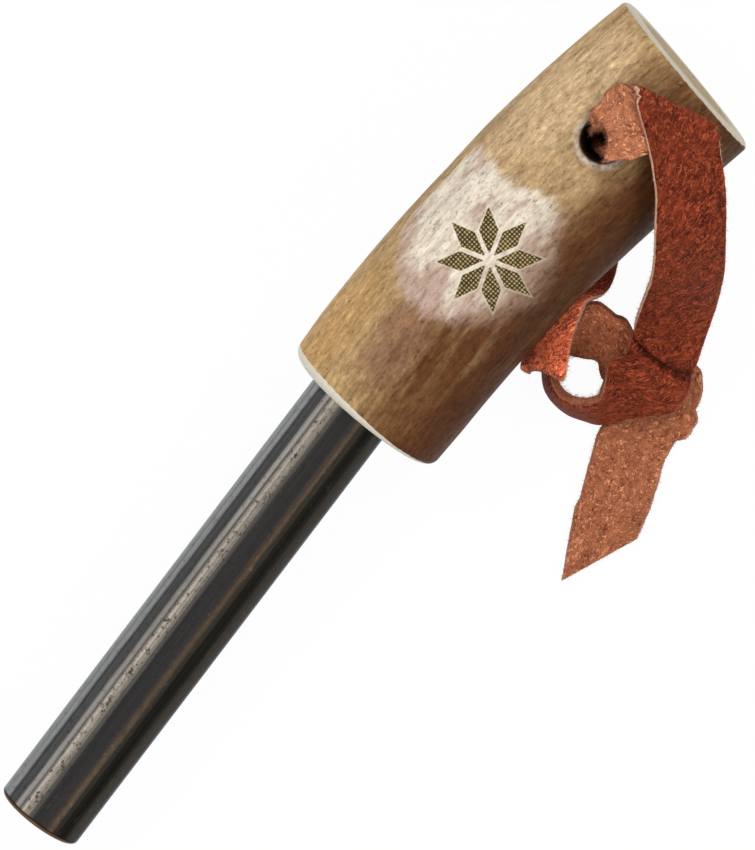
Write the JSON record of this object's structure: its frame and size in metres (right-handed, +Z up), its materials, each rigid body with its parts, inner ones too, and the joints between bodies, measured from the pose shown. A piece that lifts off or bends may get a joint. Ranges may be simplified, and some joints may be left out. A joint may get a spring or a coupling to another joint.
{
  "type": "ferro rod fire starter",
  "caption": "Bushcraft fire starter: a dark ferrocerium rod glued into a slightly curved, sawn antler handle, with a flat leather lace knotted through a cross hole near the butt.",
  "frame": {"origin": "on the surface that the tool lies on, under the middle of the rigid pieces", "axes": "+X runs from the rod's tip to the handle's butt, +Z is up, and +Y follows the right-hand rule. The tool lies on the rod's tip and the lower rim of the handle, so the rod's axis rises 3.9 degrees towards +X"},
  "size_m": [0.1062, 0.0404, 0.0234],
  "materials": {
    "antler": "semi-gloss polished antler, brown skin with pale worn rims",
    "ferrocerium": "dark ground metal with fine lengthwise lines",
    "epoxy": "dark cured glue",
    "leather": "red-brown split leather with a fuzzy flesh side"
  },
  "bodies": {
    "handle": {"antler_handle": "antler", "epoxy_bond": "epoxy", "ferro_rod": "ferrocerium"},
    "lanyard": {"lanyard_lace": "leather"}
  },
  "joints": [
    {"name": "lanyard_swing", "type": "hinge", "parent": "handle", "child": "lanyard", "pos_m": [0.04129, -0.00011, 0.01114], "axis": [-0.0681, 0, 0.9977], "range_deg": [0, 220]}
  ]
}
